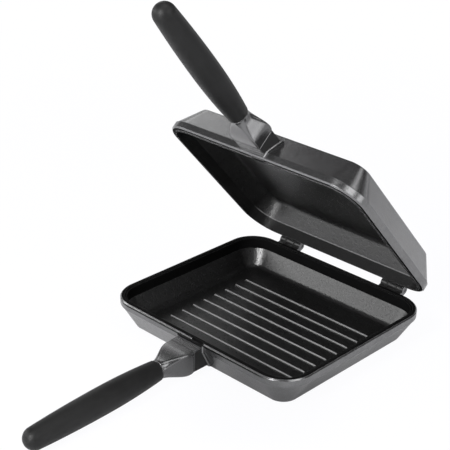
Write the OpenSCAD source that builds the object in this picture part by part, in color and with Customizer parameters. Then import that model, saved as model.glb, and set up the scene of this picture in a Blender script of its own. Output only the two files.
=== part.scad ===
// Double sided flip pan: two shallow square pan halves that fold together on two
// rear hinges, each with its own handle. The lower half has grill ribs inside, the
// upper half is smooth. Origin: centre of the lower half's underside. +Z is up, the
// hinge axis runs along X, and both handles point towards -Y when the pan is shut.

/* [Pan halves] */
// Width of each half across the rim
pan_w = 260; // [240:1:290]
// Depth of each half across the rim, front to hinge side
pan_d = 232.2; // [215:0.2:260]
// Height of each half from its base to its rim
pan_h = 36.7; // [34:0.1:42]
// Corner radius of the rim
corner_r = 34; // [31:0.5:40]
// How far the base lies in from the rim on each side
wall_in = 17.6; // [14:0.2:20]
// Wall thickness, square to the sloping wall
wall_t = 3; // [2.6:0.1:3.4]
// Floor thickness
floor_t = 3.4; // [2.8:0.1:4]
// Height of the upright band below the rim
band_h = 8.6; // [7.6:0.1:10]
// How far the upright band stands out from the sloping wall
band_out = 0.8; // [0.4:0.1:1.2]
// Depth of the upright inner face, in from the outside of the rim
rim_w = 7; // [6.4:0.1:7.4]
// Radius between floor and wall inside
floor_fillet = 8; // [5:0.5:10]

/* [Rim] */
// Width of the flat outer ring of the rim
ring_w = 4.8; // [4.4:0.1:5.2]
// Chamfer on the outer edge of the rim
rim_chamfer = 1.4; // [0.8:0.1:1.6]
// Depth of the step inside the lower rim
rabbet_d = 1.1; // [1:0.1:1.6]
// Height of the tongue on the upper rim
tongue_h = 0.9; // [0.6:0.1:0.9]
// Length of the locating tab at the middle of the front rim
tab_l = 17; // [10:0.5:18]
// Gap between each rim and the parting plane when shut
half_gap = 0.3; // [0.2:0.05:0.5]

/* [Ribs] */
// Number of ribs on the lower floor
rib_n = 8; // [4:1:9]
// Distance between ribs
rib_pitch = 17.3; // [14:0.1:18]
// How far the middle of the ribs lies behind the middle of the pan
rib_back = 1.8; // [0:0.2:3]
// Length of each rib
rib_l = 178; // [150:1:180]
// Radius of the rounded ribs
rib_r = 1.35; // [1:0.05:1.6]

/* [Hinges] */
// Distance of each hinge's middle from the middle of the pan
hinge_x = 75; // [60:1:85]
// Length of each hinge
hinge_l = 30; // [26:0.5:36]
// Distance of the hinge axis behind the rim
hinge_out = 9; // [8.4:0.1:10.5]
// Radius of the hinge knuckles
knuckle_r = 4.6; // [4:0.1:5]
// Length of the middle knuckle
knuckle_mid = 12; // [10:0.5:14]
// Radius of the hinge pins
pin_r = 2; // [1.6:0.1:2.4]
// Opening angle at which the pan is drawn
open_angle = 47.9; // [30:0.1:80]

/* [Handles] */
// Width of the boss, the block and the stem
stem_w = 34; // [30:0.5:37]
// Height of the stem's lower edge above the base
stem_z0 = 9.3; // [8.5:0.1:11]
// Height of the stem's upper face above the base
stem_z1 = 32.9; // [31:0.1:34]
// Depth of the dark block from the band to the stem
block_d = 9.5; // [8:0.5:14]
// Thickness of the metal cover on top of the block
cover_t = 1.6; // [1.2:0.1:2.4]
// Length of the stem from the block to the grip
stem_l = 37; // [34:0.5:42]
// Radius of the stem at the grip
neck_r = 10.1; // [9.6:0.1:10.6]
// Length of the grip
grip_l = 163.5; // [150:0.5:180]
// Largest radius of the grip
grip_r = 14; // [13:0.1:15.5]
// Radius of the grip at its two ends
grip_end_r = 11; // [10.9:0.1:12]
// How far the grip droops below level, in degrees
grip_droop = 2.3; // [0:0.1:3]
// Radius of the stem bolt
bolt_r = 3; // [2.5:0.1:3]

/* [Hidden] */
$fn = 96;

coat_grey = [0.50, 0.50, 0.51];
block_black = [0.09, 0.09, 0.10];
grip_black = [0.15, 0.15, 0.16];
steel = [0.68, 0.69, 0.71];

a = pan_w / 2;
b = pan_d / 2;
axis_y = b + hinge_out;
axis_z = pan_h + half_gap;
band_z = pan_h - band_h;                       // lower edge of the upright band
slope = (wall_in - band_out) / band_z;         // mm out per mm up of the sloping wall
lean = atan(slope);
wall_h = wall_t / cos(lean);                   // wall thickness measured level
base_r = corner_r - wall_in;
band_in_z = (wall_in - rim_w + wall_h) / slope;
turn = 90 - lean;

// distance of the outer wall in from the rim, at height z
function inset(z) = wall_in - slope * z;
// rounded corner between a floor at height z0 and the wall that meets it at u0
function fillet(u0, z0, f) = let(t = f / tan((90 + lean) / 2))
    [for (i = [0 : 8]) [u0 - t + f * sin(turn * i / 8), z0 + f - f * cos(turn * i / 8)]];

// a solid with the pan's plan: the profile is [distance from the corner axis, z]
module pan_sweep(profile, z0, z1) {
    cx = a - corner_r;
    cy = b - corner_r;
    for (k = [0 : 3])
        translate([(k == 0 || k == 3) ? cx : -cx, k < 2 ? cy : -cy, 0])
            rotate([0, 0, 90 * k]) rotate_extrude(angle = 90) polygon(profile);
    for (s = [0, 180]) rotate([0, 0, s]) {
        translate([cx, cy, 0]) rotate([90, 0, 0]) linear_extrude(height = 2 * cy)
            polygon(profile);
        translate([-cx, cy, 0]) rotate([90, 0, 90]) linear_extrude(height = 2 * cx)
            polygon(profile);
    }
    translate([-cx, -cy, z0]) cube([2 * cx, 2 * cy, z1 - z0]);
}

// outside of a half; tongue is how far the rim's inner part stands up
module pan_outside(tongue) {
    pan_sweep(concat([[0, 0]], fillet(base_r, 0, 3),
        [[corner_r - band_out, band_z], [corner_r, band_z + 0.5],
         [corner_r, pan_h - rim_chamfer], [corner_r - rim_chamfer, pan_h],
         [corner_r - ring_w - 0.4, pan_h], [corner_r - ring_w - 0.4, pan_h + tongue],
         [0, pan_h + tongue]]), 0, pan_h + tongue);
}

// hollow of a half; step is how deep the rim's inner part is cut away
module pan_inside(step) {
    pan_sweep(concat([[0, floor_t]],
        fillet(base_r + floor_t * slope - wall_h, floor_t, floor_fillet),
        [[corner_r - rim_w, band_in_z], [corner_r - rim_w, pan_h - step],
         [corner_r - ring_w, pan_h - step], [corner_r - ring_w, pan_h + 3],
         [0, pan_h + 3]]), floor_t, pan_h + 3);
}

// handle axis: from the grip end of the stem, local +Z runs out along the grip
neck_y = -b - 2.5 - block_d - stem_l + 1.5;
neck_z = 19.3;
module on_handle() {
    translate([0, neck_y, neck_z]) rotate([90 + grip_droop, 0, 0]) children();
}

// the boss on the front wall that carries the handle
boss_y = -b - 2.5;
boss_low = stem_z0 - 1.7;
boss_low_y = -b + inset(boss_low) - 5.2;
function boss_face(z) = z > band_z ? boss_y
    : boss_y + (boss_low_y - boss_y) * (band_z - z) / (band_z - boss_low);
module boss() {
    hw = stem_w / 2 + 1.8;
    top = pan_h - rim_chamfer;
    hull() {
        for (s = [[hw, 1], [hw - 1, 0]]) translate([-s[0], 0, 0]) rotate([90, 0, 90])
            linear_extrude(height = 2 * s[0]) polygon([
                [-b + 2.2, top], [boss_y + s[1], top], [boss_y + s[1], band_z],
                [boss_low_y + s[1], boss_low], [-b + inset(boss_low) + 1, boss_low]]);
    }
}

// hinge lug: a round knuckle with a web that runs to the band of its own half
module lug(x0, x1) {
    translate([x0, 0, 0]) rotate([90, 0, 90]) linear_extrude(height = x1 - x0) {
        translate([axis_y, axis_z]) circle(r = knuckle_r);
        polygon([[b - 1, band_z + 0.8], [b + 2, band_z + 0.8],
            [axis_y + knuckle_r * 0.5, axis_z - knuckle_r * 0.866],
            [axis_y, axis_z], [axis_y - knuckle_r * 0.6, pan_h - 0.2],
            [b - 1, pan_h - 0.2 - rim_chamfer]]);
    }
}

// web between a hinge's two lugs, hollowed round the other half's knuckle
module hinge_web() {
    difference() {
        translate([-hinge_l / 2, b - 1, band_z + 0.8])
            cube([hinge_l, hinge_out - knuckle_r + 1.2, pan_h - rim_chamfer - band_z - 1]);
        translate([-hinge_l, axis_y, axis_z]) rotate([0, 90, 0])
            cylinder(r = knuckle_r + 0.7, h = 2 * hinge_l);
    }
}

module pin_bore(r) {
    for (s = [-1, 1]) translate([s * hinge_x - hinge_l, axis_y, axis_z])
        rotate([0, 90, 0]) cylinder(r = r, h = 2 * hinge_l);
}

module upper_place() {
    translate([0, axis_y, axis_z]) rotate([-open_angle, 0, 0])
        translate([0, -axis_y, axis_z]) mirror([0, 0, 1]) children();
}

module rib(y) {
    translate([-rib_l / 2, y, floor_t]) rotate([0, 90, 0]) cylinder(r = rib_r, h = rib_l);
    for (s = [-1, 1]) translate([s * rib_l / 2, y, floor_t]) sphere(r = rib_r);
}

// seat of the thread insert in the boss; its outer end locates the dark block
insert_w = neck_y + b - 0.6;
module boss_bore() {
    on_handle() translate([0, 0, insert_w - 5]) cylinder(r = bolt_r + 1.6, h = 20);
}

module lower_pan() {
    color(coat_grey) difference() {
        union() {
            difference() {
                union() {
                    pan_outside(0);
                    boss();
                }
                pan_inside(rabbet_d);
                translate([0, -b - 5, pan_h - 1.3]) cube([tab_l, 5 + ring_w, 4]);
                boss_bore();
            }
            for (i = [0 : rib_n - 1]) rib(rib_back + (i - (rib_n - 1) / 2) * rib_pitch);
            for (s = [-1, 1]) translate([s * hinge_x, 0, 0]) {
                lug(-hinge_l / 2, -knuckle_mid / 2 - 0.4);
                lug(knuckle_mid / 2 + 0.4, hinge_l / 2);
                hinge_web();
            }
        }
        pin_bore(pin_r);
    }
}

module upper_pan() {
    color(coat_grey) upper_place() difference() {
        union() {
            difference() {
                union() {
                    pan_outside(tongue_h);
                    boss();
                    translate([0.4, -b + rim_chamfer, pan_h - 1])
                        cube([tab_l - 0.8, ring_w + 0.4 - rim_chamfer, 2]);
                }
                pan_inside(-3);
                boss_bore();
            }
            for (s = [-1, 1]) translate([s * hinge_x, 0, 0])
                lug(-knuckle_mid / 2, knuckle_mid / 2);
        }
        pin_bore(pin_r + 0.05);
    }
}

module hinge_pin(s) {
    color(steel) translate([s * hinge_x - hinge_l / 2 + 0.5, axis_y, axis_z])
        rotate([0, 90, 0]) cylinder(r = pin_r, h = hinge_l - 1);
}

// dark block between boss and stem; its top has a slot for the cover's tongue
block_y = boss_y - block_d;
cover_z = stem_z1 - cover_t;
module cover_tongue() {
    translate([4 - stem_w / 2, block_y + block_d / 2 - 1.5, cover_z - 1.8])
        cube([stem_w - 8, 3, 2.4]);
}
module spacer() {
    color(block_black) difference() {
        translate([-stem_w / 2, 0, 0]) rotate([90, 0, 90]) linear_extrude(height = stem_w)
            polygon([[block_y, stem_z0], [block_y, cover_z], [boss_y, cover_z],
                [boss_y, band_z], [boss_face(stem_z0), stem_z0]]);
        cover_tongue();
        on_handle() translate([0, 0, -stem_l - block_d - 20])
            cylinder(r = bolt_r + 0.3, h = stem_l + block_d + 20);
        on_handle() translate([0, 0, insert_w - 20]) cylinder(r = bolt_r + 1.7, h = 20.2);
        for (s = [-1, 1]) translate([s * (stem_w / 2 + 0.5), block_y + 3, stem_z0 + 2])
            rotate([0, -90 * s, 0]) cylinder(r = 0.9, h = 2.5);
    }
}

// metal plate over the block, with a fine groove along its front and its rear
module cover() {
    color(coat_grey) {
        difference() {
            translate([-stem_w / 2, block_y, cover_z]) cube([stem_w, block_d, cover_t]);
            for (y = [block_y + 2.1, boss_y - 1.9]) translate([-stem_w, y, stem_z1 + 0.1])
                rotate([0, 90, 0]) cylinder(r = 0.5, h = 2 * stem_w, $fn = 4);
        }
        cover_tongue();
    }
}

// cross-sections of the stem: share of its length, half width, low z, high z,
// lower corner radius and upper corner radius
tenon_r = 7.5;
tenon_l = 24;
function stem_cut(t) = let(u = max(0, t - 0.22) / 0.78, e = u * u * (3 - 2 * u),
    w = stem_w / 2, belly = 2.7 * (1 - t) * sin(180 * sqrt(t)),
    waist = 0.6 * sin(180 * pow(t, 3)))
    [w + (neck_r - w) * e - waist,
     stem_z0 + (neck_z - neck_r - stem_z0) * e - belly + waist,
     stem_z1 + (neck_z + neck_r - stem_z1) * e - waist,
     1.6 + (neck_r - 1.7) * pow(t, 2.2),
     1.2 + (neck_r - 1.3) * pow(t, 2.8)];
module stem_slice(t) {
    c = stem_cut(t);
    y = block_y + (neck_y - block_y) * t;
    for (s = [-1, 1]) {
        translate([s * (c[0] - c[3]), y, c[1] + c[3]]) rotate([90, 0, 0])
            cylinder(r = c[3], h = 0.02, $fn = 40);
        translate([s * (c[0] - c[4]), y, c[2] - c[4]]) rotate([90, 0, 0])
            cylinder(r = c[4], h = 0.02, $fn = 40);
    }
}
module stem() {
    cuts = [0, 0.1, 0.25, 0.43, 0.6, 0.76, 0.9, 1];
    color(coat_grey) difference() {
        union() {
            for (i = [0 : 6]) hull() {
                stem_slice(cuts[i]);
                stem_slice(cuts[i + 1]);
            }
            on_handle() translate([0, 0, -3]) cylinder(r = tenon_r, h = tenon_l + 3);
            on_handle() translate([0, 0, -3]) cylinder(r = neck_r - 0.4, h = 5);
        }
        on_handle() {
            translate([0, 0, -stem_l - 10]) cylinder(r = bolt_r + 0.3, h = stem_l + 30);
            translate([0, 0, tenon_l - 10]) cylinder(r = bolt_r + 2.4, h = 12);
            core_pin_hole();
        }
    }
}

// cross pin, beside the bolt
pin_w = 12;
pin_off = 5.3;
pin_half = 6.4;
module core_pin_hole() {
    translate([-7, pin_off, pin_w]) rotate([0, 90, 0]) cylinder(r = 1.2, h = 14);
}

module insert_bush() {
    color(steel) on_handle() translate([0, 0, insert_w - 5]) difference() {
        cylinder(r = bolt_r + 1.6, h = 5);
        translate([0, 0, -1]) cylinder(r = bolt_r, h = 7);
    }
}
module stem_bolt() {
    head_w = tenon_l - 10 + 1.4;
    color(steel) on_handle() difference() {
        union() {
            translate([0, 0, insert_w - 4.8]) cylinder(r = bolt_r, h = head_w - insert_w + 4.8);
            translate([0, 0, head_w]) cylinder(r = bolt_r + 2, h = 6);
        }
        translate([0, 0, head_w + 3]) cylinder(r = 2.8, h = 4, $fn = 6);
    }
}
module washer() {
    color(steel) on_handle() translate([0, 0, tenon_l - 10]) difference() {
        cylinder(r = bolt_r + 2, h = 1.4);
        translate([0, 0, -1]) cylinder(r = bolt_r + 0.2, h = 4);
    }
}

// grip outline as [radius, distance from the stem's neck]: two long arcs and a round tip
grip_w0 = 2;
grip_mid = grip_l * 0.41;
near_rise = grip_r - grip_end_r;
near_arc = (pow(grip_mid, 2) + pow(near_rise, 2)) / (2 * near_rise);
tip_r = grip_end_r + 0.6;
far_len = grip_l - grip_mid - tip_r;
far_rise = grip_r - tip_r;
far_arc = (pow(far_len, 2) + pow(far_rise, 2)) / (2 * far_rise);
function grip_rad(v) = v < 0 ? grip_r - near_arc + sqrt(pow(near_arc, 2) - v * v)
    : grip_r - far_arc + sqrt(pow(far_arc, 2) - v * v);
module grip_shape(inward) {
    v0 = inward * 0.5 - grip_mid;
    translate([0, grip_w0 + grip_mid]) polygon(concat([[0, v0]],
        [for (i = [0 : 9]) [grip_rad(v0 * (1 - i / 10)) - inward, v0 * (1 - i / 10)]],
        [for (i = [0 : 11]) [grip_rad(far_len * i / 12) - inward, far_len * i / 12]],
        [for (i = [0 : 9]) [(tip_r - inward) * cos(10 * i),
            far_len + (tip_r - inward) * sin(10 * i)]]));
}
module core() {
    color(block_black) on_handle() difference() {
        rotate_extrude() grip_shape(2.5);
        translate([0, 0, -1]) cylinder(r = tenon_r, h = tenon_l + 1);
        translate([0, 0, tenon_l - 1]) cylinder(r = 6, h = grip_l - tenon_l - 22);
        translate([-2 * grip_r, pin_off, pin_w]) rotate([0, 90, 0])
            cylinder(r = 1.2, h = 4 * grip_r);
    }
}
module core_pin() {
    color(steel) on_handle() translate([-pin_half, pin_off, pin_w]) rotate([0, 90, 0])
        cylinder(r = 1.2, h = 2 * pin_half);
}
module grip() {
    color(grip_black) on_handle() difference() {
        rotate_extrude() grip_shape(0);
        rotate_extrude() grip_shape(2.5);
        translate([0, 0, -1]) cylinder(r = neck_r - 0.4, h = grip_w0 + 2.5);
    }
}

module lower_spacer() { spacer(); }
module upper_spacer() { upper_place() spacer(); }
module lower_cover() { cover(); }
module upper_cover() { upper_place() cover(); }
module lower_stem() { stem(); }
module upper_stem() { upper_place() stem(); }
module lower_insert() { insert_bush(); }
module upper_insert() { upper_place() insert_bush(); }
module lower_stem_bolt() { stem_bolt(); }
module upper_stem_bolt() { upper_place() stem_bolt(); }
module lower_washer() { washer(); }
module upper_washer() { upper_place() washer(); }
module lower_core() { core(); }
module upper_core() { upper_place() core(); }
module lower_core_pin() { core_pin(); }
module upper_core_pin() { upper_place() core_pin(); }
module lower_grip() { grip(); }
module upper_grip() { upper_place() grip(); }
module left_hinge_pin() { hinge_pin(-1); }
module right_hinge_pin() { hinge_pin(1); }

lower_pan();
upper_pan();
lower_spacer();
upper_spacer();
lower_cover();
upper_cover();
lower_stem();
upper_stem();
lower_insert();
upper_insert();
lower_stem_bolt();
upper_stem_bolt();
lower_washer();
upper_washer();
lower_core();
upper_core();
lower_core_pin();
upper_core_pin();
lower_grip();
upper_grip();
left_hinge_pin();
right_hinge_pin();
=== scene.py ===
"""Looks for the double sided flip pan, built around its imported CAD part.

Lengths in the tables below are millimetres, in the part's own frame: +Z up, hinge
axis along X, both handles towards -Y. Blender itself works in metres.
"""
import math

import bpy
from mathutils import Matrix, Vector


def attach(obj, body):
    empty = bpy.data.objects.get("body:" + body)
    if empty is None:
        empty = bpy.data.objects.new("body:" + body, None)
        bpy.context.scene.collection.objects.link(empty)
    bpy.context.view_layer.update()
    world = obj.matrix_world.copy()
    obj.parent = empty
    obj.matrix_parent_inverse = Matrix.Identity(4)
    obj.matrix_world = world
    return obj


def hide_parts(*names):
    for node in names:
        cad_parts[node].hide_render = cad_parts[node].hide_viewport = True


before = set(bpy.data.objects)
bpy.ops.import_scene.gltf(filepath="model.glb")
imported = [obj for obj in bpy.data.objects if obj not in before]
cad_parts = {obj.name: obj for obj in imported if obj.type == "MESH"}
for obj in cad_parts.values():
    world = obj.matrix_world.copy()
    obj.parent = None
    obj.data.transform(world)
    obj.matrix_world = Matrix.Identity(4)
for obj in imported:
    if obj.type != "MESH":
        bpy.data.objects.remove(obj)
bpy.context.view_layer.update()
MM = 0.001

# ---------------------------------------------------------------- sizes of the part
PAN_W, PAN_D, PAN_H = 260.0, 232.2, 36.7
CORNER_R, WALL_IN, BAND_H, BAND_OUT = 34.0, 17.6, 8.6, 0.8
FLOOR_T, RIB_R = 3.4, 1.35
RIM_CHAMFER, RIM_W, BAND_IN_Z = 1.4, 7.0, 23.8
HINGE_OUT, HALF_GAP, OPEN_ANGLE = 9.0, 0.3, 47.9
HINGE_X, KNUCKLE_SEAM = 75.0, 6.2       # a hinge's middle, and from there to a knuckle's end
BOSS_D, BLOCK_D = 2.5, 9.5
STEM_W, STEM_Z0, STEM_Z1, STEM_L = 34.0, 9.3, 32.9, 37.0
NECK_R, NECK_Z, NECK_IN, DROOP = 10.1, 19.3, 1.5, 2.3

HALF_W, HALF_D = PAN_W / 2, PAN_D / 2
AXIS_Y, AXIS_Z = HALF_D + HINGE_OUT, PAN_H + HALF_GAP
BAND_Z, RIM_Z = PAN_H - BAND_H, PAN_H - RIM_CHAMFER
SLOPE = (WALL_IN - BAND_OUT) / BAND_Z
BLOCK_Y = -HALF_D - BOSS_D - BLOCK_D
NECK_Y = BLOCK_Y - STEM_L + NECK_IN


def upper_place():
    """What takes the lower half's shape to the upper half: mirrored, then opened."""
    axis = Matrix.Translation((0, AXIS_Y * MM, AXIS_Z * MM))
    back = Matrix.Translation((0, -AXIS_Y * MM, AXIS_Z * MM))
    opened = Matrix.Rotation(math.radians(-OPEN_ANGLE), 4, "X")
    mirrored = Matrix.Scale(-1, 4, (0, 0, 1))
    return axis @ opened @ back @ mirrored


UPPER = upper_place()
PLACES = {"lower": Matrix.Identity(4), "upper": UPPER}


# ---------------------------------------------------------------- shader expressions
class Wire:
    """A value or colour in a tree of nodes; arithmetic on it adds Math nodes."""

    def __init__(self, nodes, socket):
        self.nodes, self.socket = nodes, socket

    def __add__(self, other):
        return self.nodes.math("ADD", self, other)

    def __sub__(self, other):
        return self.nodes.math("SUBTRACT", self, other)

    def __rsub__(self, other):
        return self.nodes.math("SUBTRACT", other, self)

    def __mul__(self, other):
        return self.nodes.math("MULTIPLY", self, other)

    def __abs__(self):
        return self.nodes.math("ABSOLUTE", self)

    __radd__, __rmul__ = __add__, __mul__

    def most(self, other):
        return self.nodes.math("MAXIMUM", self, other)

    def step(self, low, high):
        """0 below low, 1 above high, and a smooth rise between them."""
        return self.nodes.add("ShaderNodeMapRange", {"interpolation_type": "SMOOTHSTEP"},
                              Value=self, **{"From Min": low, "From Max": high})


MIX_COLOURS, MIX_RESULT = (6, 7), 2      # a Mix node's sockets for colours


class Nodes:
    """The nodes of a material or of the world, written as Python calls."""

    def __init__(self, tree):
        self.tree = tree

    def add(self, kind, settings=None, *values, out=0, at=None, **named):
        """Adds a node: its settings first, then values or links for its sockets."""
        node = self.tree.nodes.new(kind)
        for key, value in (settings or {}).items():
            setattr(node, key, value)
        for key, value in [*enumerate(values), *(at or {}).items(), *named.items()]:
            socket = node.inputs[key]
            if isinstance(value, Wire):
                self.tree.links.new(value.socket, socket)
            else:
                socket.default_value = value
        return Wire(self, node.outputs[out]) if node.outputs else None

    def math(self, operation, *values):
        return self.add("ShaderNodeMath", {"operation": operation}, *values)

    def place(self):
        """The point on the piece at rest, in metres."""
        return self.add("ShaderNodeTexCoord", out="Object")

    def along(self, axis):
        """How far the point lies along X, Y or Z, in metres."""
        return self.add("ShaderNodeSeparateXYZ", None, self.place(), out=axis)

    def ray(self, kind):
        """1 for a ray of the kind, such as Camera or Glossy."""
        return self.add("ShaderNodeLightPath", out=f"Is {kind} Ray")

    def noise(self, size, detail=2.0, rough=0.5, stretch=None):
        """Noise whose grains are about size millimetres."""
        where = self.place()
        if stretch:
            where = self.add("ShaderNodeVectorMath", {"operation": "MULTIPLY"}, where, stretch)
        return self.add("ShaderNodeTexNoise", None, where, out="Fac", Scale=1 / (size * MM),
                        Detail=detail, Roughness=rough)

    def mix(self, factor, first, second):
        """One colour over another; a number alone is a grey."""
        ends = {socket: grey(colour) if isinstance(colour, float) else colour
                for socket, colour in zip(MIX_COLOURS, (first, second))}
        return self.add("ShaderNodeMix", {"data_type": "RGBA"}, factor, out=MIX_RESULT, at=ends)

    def rounded(self, radius):
        """The surface's direction, with edges rounded by radius millimetres."""
        return self.add("ShaderNodeBevel", {"samples": 8}, radius * MM)


class Finish(Nodes):
    """A material with its Principled shader."""

    def __init__(self, name, **fixed):
        self.material = bpy.data.materials.new(name)
        self.material.use_nodes = True
        super().__init__(self.material.node_tree)
        self.shader = self.tree.nodes["Principled BSDF"]
        for socket, value in fixed.items():
            self.shader.inputs[socket.replace("_", " ")].default_value = value

    def feed(self, **wires):
        """Links wires to the shader's sockets; _ stands for a space in a socket's name."""
        for socket, wire in wires.items():
            self.tree.links.new(wire.socket, self.shader.inputs[socket.replace("_", " ")])

    def relief(self, height, depth, edge=0.0):
        """Bump of depth millimetres, over edges rounded by edge millimetres."""
        named = {"Height": height, "Distance": depth * MM, "Strength": 1.0}
        if edge:
            named["Normal"] = self.rounded(edge)
        self.feed(Normal=self.add("ShaderNodeBump", None, **named))

    def edge_wear_and_highlight(self, reach):
        """1 within about reach millimetres of a sharp edge, unevenly, and 0 elsewhere; it pales
        edges, partly as wear and partly as a painted highlight.
        """
        straight = self.add("ShaderNodeNewGeometry", out="Normal")
        agree = self.add("ShaderNodeVectorMath", {"operation": "DOT_PRODUCT"},
                         self.rounded(reach), straight, out="Value")
        return (1 - agree).step(0.01, 0.12) * (self.noise(2.5, 3, 0.6) + 0.4)


def grey(level):
    """A grey with the faintest touch of blue."""
    return (level, level, level * 1.015, 1.0)


# ---------------------------------------------------------------- finishes
def outside_coat():
    """Satin metallic grey coat, fine flake in it, with a painted shadow line under the lower rim,
    and edges paler, partly wear and partly a painted highlight.
    """
    coat = Finish("outside_coat", Metallic=0.94, Coat_Weight=0.04, Coat_Roughness=0.25)
    cloud, mottle = coat.noise(32, 3), coat.noise(4, 2, 0.6)
    grain, flake = coat.noise(1.6, 3, 0.6), coat.noise(0.6, 1)
    tone = (cloud * 0.3 + mottle * 0.2 + grain * 0.25 + flake * 0.25).step(0.34, 0.66)
    line_h, soft, corner_x = 1.8 * MM, 0.1 * MM, HALF_W - CORNER_R
    z, bottom, top = coat.along("Z"), RIM_Z * MM - line_h, RIM_Z * MM
    # a dark line painted just under the rim's lip, a painted shadow, faded out towards the corners
    painted_shadow_line = z.step(bottom - soft, bottom + soft) - z.step(top, top + soft)
    fade = 1 - coat.along("X").step((corner_x - 6) * MM, (corner_x + 10) * MM)
    # edges paled: partly wear, partly a painted highlight
    grey_coat = coat.mix(coat.edge_wear_and_highlight(0.5) * 0.6, coat.mix(tone, 0.14, 0.21), 0.25)
    coat.feed(Base_Color=coat.mix(painted_shadow_line * fade, grey_coat, 0.012),
              Roughness=0.17 + grain * 0.1 + cloud * 0.04)
    coat.relief(mottle * 0.3 + grain * 0.25 + flake * 0.08, 0.2, 0.45)
    return coat.material


def inside_coat():
    """Black non-stick coat, finely pebbled, with paler specks, and edges paler, partly wear and
    partly a painted highlight.
    """
    coat = Finish("inside_coat", IOR=1.68)
    cloud, mottle = coat.noise(34, 3), coat.noise(4.5, 2, 0.6)
    pebble, speck = coat.noise(1.5, 2, 0.6), coat.noise(0.8, 1)
    dots = speck.step(0.62, 0.7)
    black = coat.mix(dots * 0.4, coat.mix(cloud, 0.003, 0.007), 0.05)
    # edges paled: partly wear, partly a painted highlight
    coat.feed(Base_Color=coat.mix(coat.edge_wear_and_highlight(0.5) * 0.6, black, 0.2),
              Roughness=0.22 + pebble * 0.1 + mottle * 0.04)
    coat.relief(mottle * 0.45 + pebble * 0.4 + speck * 0.15, 0.5, 0.45)
    return coat.material


def rim_coat(name, edge_grey):
    """The black coat on a rim, duller there; the second argument is the grey of its edges, partly
    wear and partly a painted highlight.
    """
    coat = Finish(name, IOR=1.06)
    cloud, pebble = coat.noise(20, 3), coat.noise(1.3, 2, 0.6)
    # edges paled: partly wear, partly a painted highlight
    coat.feed(Base_Color=coat.mix(coat.edge_wear_and_highlight(0.6), coat.mix(cloud, 0.003, 0.006), edge_grey),
              Roughness=0.48 + pebble * 0.14)
    coat.relief(pebble, 0.1)
    return coat.material


def band_coat():
    """The black coat on the upper half's upright band, with a painted highlight along its rear
    fold.
    """
    coat = Finish("upper_band_coat", IOR=1.5)
    cloud, mottle = coat.noise(34, 3), coat.noise(4.5, 2, 0.6)
    pebble = coat.noise(1.5, 2, 0.6)
    y, z, own = coat.along("Y"), coat.along("Z"), UPPER.inverted()
    height, depth = (y * row[1] + z * row[2] + row[3] for row in (own[2], own[1]))
    fold = 1 - height.step((BAND_IN_Z + 0.5) * MM, (BAND_IN_Z + 1.3) * MM)
    rear = depth.step(0.085, 0.1)
    # a painted highlight along the band's rear fold
    polish_and_sheen = fold * rear * (pebble * 0.8 + 0.3)
    coat.feed(Base_Color=coat.mix(polish_and_sheen, coat.mix(cloud, 0.003, 0.007), 0.2),
              Roughness=0.24 + pebble * 0.1 + mottle * 0.04)
    coat.relief(mottle * 0.45 + pebble * 0.55, 0.5, 0.3)
    return coat.material


def rib_coat():
    """The same coat on the ribs, with a painted highlight along their crests."""
    coat = Finish("rib_coat", IOR=1.7)
    crest = coat.along("Z").step((FLOOR_T + 0.4 * RIB_R) * MM, (FLOOR_T + 0.98 * RIB_R) * MM)
    polish_and_sheen = coat.noise(9, 3, 0.6) * 0.3 + coat.noise(0.9, 2) * 0.2
    # the crests are painted lighter, a painted highlight
    coat.feed(Base_Color=coat.mix(crest * (0.6 + polish_and_sheen), 0.012, 0.3),
              Roughness=0.36 - crest * 0.06 + polish_and_sheen * 0.1)
    coat.relief(coat.noise(1.3, 2, 0.6), 0.04)
    return coat.material


def stem_coat():
    """Satin silver-grey coat of the cast stems and of the plates over the blocks."""
    coat = Finish("stem_coat", Metallic=0.94, Coat_Weight=0.05, Coat_Roughness=0.2)
    cloud, grain = coat.noise(14, 3), coat.noise(1.1, 3, 0.6)
    coat.feed(Base_Color=coat.mix(cloud * 0.6 + grain * 0.4, 0.13, 0.19),
              Roughness=0.16 + grain * 0.09 + cloud * 0.04)
    coat.relief(grain, 0.08, 0.35)
    return coat.material


def bright_edge():
    """Bare metal where the coat ends, on the chamfers beside the boss's front face."""
    metal = Finish("bright_edge", Metallic=1.0)
    scuff, grain = metal.noise(3, 3, 0.6), metal.noise(0.6, 2)
    metal.feed(Base_Color=metal.mix(scuff, 0.2, 0.3), Roughness=0.3 + grain * 0.12)
    metal.relief(grain, 0.03, 0.25)
    return metal.material


def block_plastic():
    """Dark heat-proof plastic of the blocks, finely grained."""
    plastic = Finish("block_plastic", IOR=1.45)
    grain, cloud = plastic.noise(1.1, 3, 0.65), plastic.noise(12, 2)
    plastic.feed(Base_Color=plastic.mix(cloud, 0.009, 0.017), Roughness=0.5 + grain * 0.16)
    plastic.relief(grain, 0.08, 0.3)
    return plastic.material


def grip_touch():
    """Matt soft-touch plastic of the grips, polished a little by hands."""
    skin = Finish("grip_touch", IOR=1.32)
    grain, cloud, polish_and_sheen = skin.noise(0.6, 2, 0.6), skin.noise(26, 3), skin.noise(9, 4, 0.6)
    skin.feed(Base_Color=skin.mix((cloud * 0.6 + grain * 0.4).step(0.3, 0.7), 0.006, 0.011),
              Roughness=0.42 + grain * 0.1 - polish_and_sheen.step(0.45, 0.8) * 0.06)
    skin.relief(grain, 0.035)
    return skin.material


def bare_metal(name, level, rough, stretch):
    """Bare metal; its fine lines run along the axis with the least number in stretch."""
    metal = Finish(name, Metallic=1.0)
    lines, cloud = metal.noise(0.5, 3, 0.7, stretch), metal.noise(5, 2)
    metal.feed(Base_Color=metal.mix(lines * 0.6 + cloud * 0.4, level * 0.8, level * 1.1),
               Roughness=rough + lines * 0.12)
    metal.relief(lines, 0.02, 0.25)
    return metal.material


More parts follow.
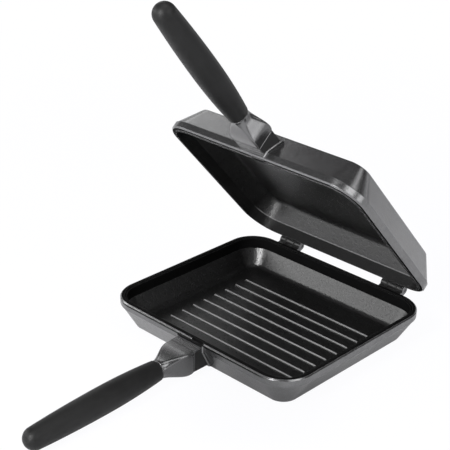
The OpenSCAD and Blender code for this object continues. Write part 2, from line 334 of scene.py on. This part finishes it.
def hinge_coat():
    """Thick black coat on the knuckles, dull and painted darker where they meet, a painted shade
    between them.
    """
    coat = Finish("hinge_coat", IOR=1.55)
    cloud, pebble = coat.noise(9, 3), coat.noise(1.0, 2, 0.6)
    from_middle = abs(abs(coat.along("X")) - HINGE_X * MM)
    # painted shade at the gaps between the knuckles, with a duller surface there
    seam_shade = 1 - abs(from_middle - KNUCKLE_SEAM * MM).step(0.7 * MM, 1.5 * MM)
    coat.feed(Base_Color=coat.mix(seam_shade, coat.mix(cloud, 0.006, 0.012), 0.001),
              Roughness=0.26 + pebble * 0.12 + seam_shade * 0.5)
    coat.relief(pebble, 0.1, 0.35)
    return coat.material


def core_plastic():
    """Moulded plastic inside the grips."""
    plastic = Finish("core_plastic")
    flow, grain = plastic.noise(7, 3, stretch=(1, 0.3, 1)), plastic.noise(0.6, 2)
    plastic.feed(Base_Color=plastic.mix(flow, 0.03, 0.05), Roughness=0.5 + grain * 0.1)
    plastic.relief(grain, 0.03)
    return plastic.material


OUTSIDE, INSIDE, RIBS = outside_coat(), inside_coat(), rib_coat()
# the upper rim's edges get a much paler grey than the lower rim's, mostly a painted highlight
LOWER_RIM, UPPER_RIM = rim_coat("lower_rim_coat", 0.03), rim_coat("upper_rim_coat", 0.26)
STEM, EDGE, BLOCK, GRIP = stem_coat(), bright_edge(), block_plastic(), grip_touch()
FACED = bare_metal("faced_knuckle_ends", 0.2, 0.34, (1, 1, 1))
PIN = bare_metal("hinge_pin_steel", 0.2, 0.3, (0.1, 1, 1))
STEEL = bare_metal("fastener_steel", 0.5, 0.28, (1, 0.2, 1))
HINGE, CORE, UPPER_BAND = hinge_coat(), core_plastic(), band_coat()


# ---------------------------------------------------------------- even shading
SHARP, JOIN = 24.0, 0.002               # degrees, and millimetres between joined corners


def even_shading():
    """A node group that shades a mesh smoothly, but for edges sharper than SHARP."""
    group = bpy.data.node_groups.new("even_shading", "GeometryNodeTree")
    group.interface.new_socket("Geometry", in_out="INPUT", socket_type="NodeSocketGeometry")
    group.interface.new_socket("Geometry", in_out="OUTPUT", socket_type="NodeSocketGeometry")
    nodes = Nodes(group)
    shape = nodes.add("NodeGroupInput")
    plain = nodes.add("GeometryNodeRemoveAttribute", None, shape, Name="custom_normal")
    joined = nodes.add("GeometryNodeMergeByDistance", None, plain, Distance=JOIN * MM)
    smooth = nodes.add("GeometryNodeSetShadeSmooth", {"domain": "FACE"}, joined)
    turn = nodes.add("GeometryNodeInputMeshEdgeAngle")
    soft = nodes.add("FunctionNodeCompare", {"operation": "LESS_THAN"}, turn,
                     math.radians(SHARP))
    creased = nodes.add("GeometryNodeSetShadeSmooth", {"domain": "EDGE"}, smooth,
                        **{"Shade Smooth": soft})
    nodes.add("NodeGroupOutput", None, creased)
    return group


EVEN = even_shading()


def shade_evenly(piece):
    """Joins the CAD faces' borders for shading alone; no point moves."""
    piece.modifiers.new("even_shading", "NODES").node_group = EVEN
    level = piece.modifiers.new("flat_faces_stay_flat", "WEIGHTED_NORMAL")
    level.keep_sharp = True
    level.weight = 80


# ---------------------------------------------------------------- the pan halves
def in_from_rim(x, y):
    """Distance in from the rim's outline, seen from above."""
    past_x, past_y = abs(x) - (HALF_W - CORNER_R), abs(y) - (HALF_D - CORNER_R)
    from_corner = math.hypot(max(past_x, 0), max(past_y, 0)) + min(max(past_x, past_y), 0)
    return CORNER_R - from_corner


PAN_FINISHES = (OUTSIDE, INSIDE, RIBS, FACED, LOWER_RIM, EDGE, HINGE, UPPER_RIM, UPPER_BAND)
OFF = 0.02                              # how far a face's middle may lie off its surface


def pan_face(point, normal, lower):
    """The finish of a pan's face, from its middle and normal as the lower half has them."""
    x, y, z = point
    if y > HALF_D + 0.3 and z > BAND_Z:
        return FACED if abs(normal.x) > 0.9 else HINGE
    if y < -HALF_D - 0.2:
        chamfer = min(abs(normal.x), abs(normal.y)) > 0.3
        return EDGE if chamfer else OUTSIDE
    inward = in_from_rim(x, y)
    if z > RIM_Z + OFF:
        if inward < RIM_CHAMFER - 0.2:
            return OUTSIDE
        if lower:
            return LOWER_RIM
        return UPPER_RIM if z > PAN_H - 0.1 else UPPER_BAND
    outer_wall = inward < max(WALL_IN - SLOPE * z, 0) + 1.3
    if z < FLOOR_T - OFF or outer_wall:
        return OUTSIDE
    if z > BAND_IN_Z and inward < RIM_W + 0.5:
        return LOWER_RIM if lower else UPPER_BAND
    on_rib = FLOOR_T + 0.1 < z < FLOOR_T + RIB_R + 0.1 and inward > WALL_IN + 6
    return RIBS if lower and on_rib else INSIDE


def finish_pan(half):
    """Gives each face of a pan half its finish."""
    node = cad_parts[half + "_pan"]
    mesh = node.data
    back = PLACES[half].inverted()
    turn = back.to_3x3()
    mesh.materials.clear()
    for material in PAN_FINISHES:
        mesh.materials.append(material)
    for face in mesh.polygons:
        point, normal = (back @ face.center) / MM, (turn @ face.normal).normalized()
        face.material_index = PAN_FINISHES.index(pan_face(point, normal, half == "lower"))
    shade_evenly(node)


for half in PLACES:
    finish_pan(half)


# ---------------------------------------------------------------- the cast stems
def smooth(t):
    """A soft start and end, for t from 0 to 1."""
    return t * t * (3 - 2 * t)


def stem_cut(t):
    """Half width, low z, high z, lower and upper corner radius, t of the way to the neck."""
    narrowing = smooth(max(0.0, t - 0.22) / 0.78)
    belly = 2.7 * (1 - t) * math.sin(math.pi * t ** 0.5)
    waist = 0.6 * math.sin(math.pi * t ** 3)
    half = STEM_W / 2
    return (half + (NECK_R - half) * narrowing - waist,
            STEM_Z0 + (NECK_Z - NECK_R - STEM_Z0) * narrowing - belly + waist,
            STEM_Z1 + (NECK_Z + NECK_R - STEM_Z1) * narrowing - waist,
            1.6 + (NECK_R - 1.7) * t ** 2.2,
            1.2 + (NECK_R - 1.3) * t ** 2.8)


ARC_STEPS, FLAT_STEPS = 8, 8            # faces round each corner, and along each flat side


def stem_ring(t, y, shrink=0.0):
    """The stem's outline at t, as points in millimetres; every ring has as many."""
    half, low, high, r_low, r_high = stem_cut(t)
    half, low, high = half - shrink, low + shrink, high - shrink
    r_low, r_high = max(r_low - shrink, 0.3), max(r_high - shrink, 0.3)
    corners = ((half - r_low, low + r_low, r_low, -90), (half - r_high, high - r_high, r_high, 0),
               (r_high - half, high - r_high, r_high, 90), (r_low - half, low + r_low, r_low, 180))
    arcs = []
    for middle_x, middle_z, r, start in corners:
        turns = [math.radians(start + 90 * step / ARC_STEPS) for step in range(ARC_STEPS + 1)]
        arcs.append([(middle_x + r * math.cos(a), y, middle_z + r * math.sin(a)) for a in turns])
    ring = []
    for arc, after in zip(arcs, arcs[1:] + arcs[:1]):
        ring += arc
        for step in range(1, FLAT_STEPS):
            share = step / FLAT_STEPS
            ring.append(tuple(p + (q - p) * share for p, q in zip(arc[-1], after[0])))
    return ring


# the thin lip round the stem's end: distance from the block, and how far it lies in
LIP = ((0, 0.2), (0.12, -0.4), (0.3, -0.5), (0.45, -0.5), (1.0, 0.05), (1.2, 0.05))
# the round collar that goes into the grip: distance past the neck, and radius
COLLAR = ((0.2, NECK_R - 0.1), (0.3, NECK_R - 0.4), (2.2, NECK_R - 0.4))
STEM_STEPS = 54


def loft(name, rings, place, material, body, node):
    """A closed smooth skin through the rings that stands for a CAD node."""
    count, last = len(rings[0]), len(rings) - 1
    points = [place @ (Vector(p) * MM) for ring in rings for p in ring]
    faces = []
    for i in range(last):
        for j in range(count):
            after = (j + 1) % count
            faces.append((i * count + j, i * count + after, (i + 1) * count + after,
                          (i + 1) * count + j))
    faces.append(tuple(reversed(range(count))))
    faces.append(tuple(last * count + j for j in range(count)))
    mesh = bpy.data.meshes.new(name)
    mesh.from_pydata(points, [], faces)
    mesh.materials.append(material)
    piece = bpy.data.objects.new(name, mesh)
    bpy.context.scene.collection.objects.link(piece)
    bpy.context.view_layer.objects.active = piece
    piece.select_set(True)
    bpy.ops.object.mode_set(mode="EDIT")
    bpy.ops.mesh.select_all(action="SELECT")
    bpy.ops.mesh.normals_make_consistent(inside=False)
    bpy.ops.object.mode_set(mode="OBJECT")
    piece.select_set(False)
    collar = (len(LIP) + STEM_STEPS) * count        # its points and the end caps stay flat
    for face in mesh.polygons:
        face.use_smooth = len(face.vertices) == 4 and max(face.vertices) < collar
    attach(piece, body)
    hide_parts(node)
    return piece


def stem_rings():
    """The outlines from the lip at the block to the collar in the grip."""
    rings = [stem_ring(0, BLOCK_Y - back, shrink) for back, shrink in LIP]
    for step in range(1, STEM_STEPS + 1):
        t = step / STEM_STEPS
        rings.append(stem_ring(t, BLOCK_Y + (NECK_Y - BLOCK_Y) * t))
    tilt = math.radians(DROOP)
    for past, radius in COLLAR:
        rings.append([(x, NECK_Y - past * math.cos(tilt), z - past * math.sin(tilt))
                      for x, _, z in stem_ring(1, NECK_Y, NECK_R - radius)])
    return rings


for half, place in PLACES.items():
    loft(half + "_stem_casting", stem_rings(), place, STEM, half + "_half", half + "_stem")


# ---------------------------------------------------------------- other CAD nodes
def finish_node(name, material):
    """Gives a whole CAD node one finish."""
    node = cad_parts[name]
    node.data.materials.clear()
    node.data.materials.append(material)
    shade_evenly(node)


for half in PLACES:
    for part, material in (("spacer", BLOCK), ("cover", STEM), ("grip", GRIP), ("core", CORE),
                           ("insert", STEEL), ("stem_bolt", STEEL), ("washer", STEEL),
                           ("core_pin", STEEL)):
        finish_node(f"{half}_{part}", material)
for side in ("left", "right"):
    finish_node(side + "_hinge_pin", PIN)


# ---------------------------------------------------------------- stage, lamps, camera
HORIZON, CEILING = 0.06, 0.3            # rises where the white ends and the ceiling starts
CEILING_GREY, FILL = 0.1, 0.33


def white_studio():
    """White to the camera; reflections see a white horizon under a dim ceiling."""
    world = bpy.data.worlds.new("studio")
    bpy.context.scene.world = world
    world.use_nodes = True
    sky = Nodes(world.node_tree)
    rise = sky.add("ShaderNodeSeparateXYZ", None,
                   sky.add("ShaderNodeTexCoord", out="Generated"), out="Z")
    ceiling = sky.mix(rise.step(HORIZON, CEILING), 1.0, CEILING_GREY)
    seen = sky.mix(sky.ray("Camera"), ceiling, 1.0)
    shown = sky.ray("Glossy").most(sky.ray("Transmission")).most(sky.ray("Camera"))
    light = sky.add("ShaderNodeMixShader", None, shown,
                    sky.add("ShaderNodeBackground", None, grey(1.0), FILL),
                    sky.add("ShaderNodeBackground", None, seen, 1.0))
    sky.tree.links.new(light.socket, sky.tree.nodes["World Output"].inputs[0])


FLOOR_R, FLOOR_DROP = 8.0, 0.0004       # metres
SHADE_PLACE = (0.085, -0.112, 0)        # a painted shadow darkens the floor round this point, right of the stem


def white_floor():
    """Pale floor: white to the camera but for a faint shadow, and dim in reflections, with a
    painted shadow right of the stem.
    """
    mesh = bpy.data.meshes.new("floor")
    corners = [(-FLOOR_R, -FLOOR_R, 0), (FLOOR_R, -FLOOR_R, 0), (FLOOR_R, FLOOR_R, 0),
               (-FLOOR_R, FLOOR_R, 0)]
    mesh.from_pydata(corners, [], [(0, 1, 2, 3)])
    floor = bpy.data.objects.new("floor", mesh)
    floor.location.z = -FLOOR_DROP
    bpy.context.scene.collection.objects.link(floor)
    paint = Finish("white_floor", Roughness=0.9, Specular_IOR_Level=0.0)
    aside = paint.add("ShaderNodeVectorMath", {"operation": "DISTANCE"}, paint.place(),
                      SHADE_PLACE, out="Value")
    # painted shadow: the floor's colour and its glow in reflections darken near SHADE_PLACE
    shade = 0.5 + aside.step(0.02, 0.13) * 0.5
    paint.feed(Base_Color=paint.mix(shade, 0.0, 0.75))
    far = paint.add("ShaderNodeVectorMath", {"operation": "LENGTH"}, paint.place(),
                    out="Value")
    glow = 0.96 + far.step(0.4, 1.2) * 0.04
    mirrored = paint.ray("Glossy").most(paint.ray("Transmission"))
    share = (paint.ray("Camera") * glow).most(mirrored * shade * 0.12)
    both = paint.add("ShaderNodeMixShader", None, share, Wire(paint, paint.shader.outputs[0]),
                     paint.add("ShaderNodeEmission", None, grey(1.0), 1.0))
    paint.tree.links.new(both.socket, paint.tree.nodes["Material Output"].inputs[0])
    mesh.materials.append(paint.material)


def lamp(name, place, aim, size, glow):
    """A soft rectangular lamp, sizes in metres, that faces aim and glows so strongly."""
    data = bpy.data.lights.new(name, "AREA")
    data.shape = "RECTANGLE"
    data.size, data.size_y = size
    data.energy = glow * math.pi * size[0] * size[1]
    obj = bpy.data.objects.new(name, data)
    obj.location = place
    obj.rotation_euler = (Vector(aim) - Vector(place)).to_track_quat("-Z", "Y").to_euler()
    obj.visible_camera = False
    bpy.context.scene.collection.objects.link(obj)


white_studio()
white_floor()
MIDDLE = (0, 0, 0.12)
lamp("overhead", (0.1, -0.1, 2.0), MIDDLE, (1.2, 1.2), 2.2)
lamp("back_top", (0.84, 1.38, 1.5), MIDDLE, (0.6, 0.4), 2.3)
lamp("front_left", (-1.45, -1.2, 0.8), MIDDLE, (1.7, 0.72), 3.7)
lamp("front_strip_high", (0.13, -1.6, 1.1), MIDDLE, (0.5, 0.75), 27.0)
lamp("front_strip_low", (0.13, -1.6, 0.3), MIDDLE, (0.2, 0.5), 16.0)
lamp("back_left", (-1.75, 0.95, 1.3), MIDDLE, (0.8, 0.8), 1.7)
lamp("front_right", (1.5, -0.12, 1.35), MIDDLE, (1.1, 1.0), 3.0)
lamp("right", (1.75, 0.45, 0.35), MIDDLE, (0.5, 0.6), 2.2)
lamp("shoulder", (1.18, 0.62, 1.8), MIDDLE, (0.3, 0.3), 5.0)

# fitted to the pan's straight edges in the photograph: degrees, millimetres and pixels
CAMERA = dict(azimuth=43.48, elevation=25.38, roll=1.41, distance=1331.7, right=-45.6,
              up=114.2, focal=1217.3)
PHOTO_W, SENSOR_W = 450, 36.0


def photo_camera():
    """A camera at the photograph's viewing angle."""
    az, el, roll = (math.radians(CAMERA[k]) for k in ("azimuth", "elevation", "roll"))
    back = Vector((math.sin(az) * math.cos(el), -math.cos(az) * math.cos(el), math.sin(el)))
    level = Vector((math.cos(az), math.sin(az), 0))
    rise = back.cross(level)
    right = level * math.cos(roll) + rise * math.sin(roll)
    up = rise * math.cos(roll) - level * math.sin(roll)
    data = bpy.data.cameras.new("camera")
    data.sensor_width = SENSOR_W
    data.lens = CAMERA["focal"] / PHOTO_W * SENSOR_W
    data.clip_start, data.clip_end = 0.05, 30
    obj = bpy.data.objects.new("camera", data)
    obj.matrix_world = Matrix((right, up, back)).transposed().to_4x4()
    obj.location = (right * CAMERA["right"] + up * CAMERA["up"] + back * CAMERA["distance"]) * MM
    bpy.context.scene.collection.objects.link(obj)
    bpy.context.scene.camera = obj


photo_camera()
bpy.context.scene.view_settings.view_transform = "Standard"
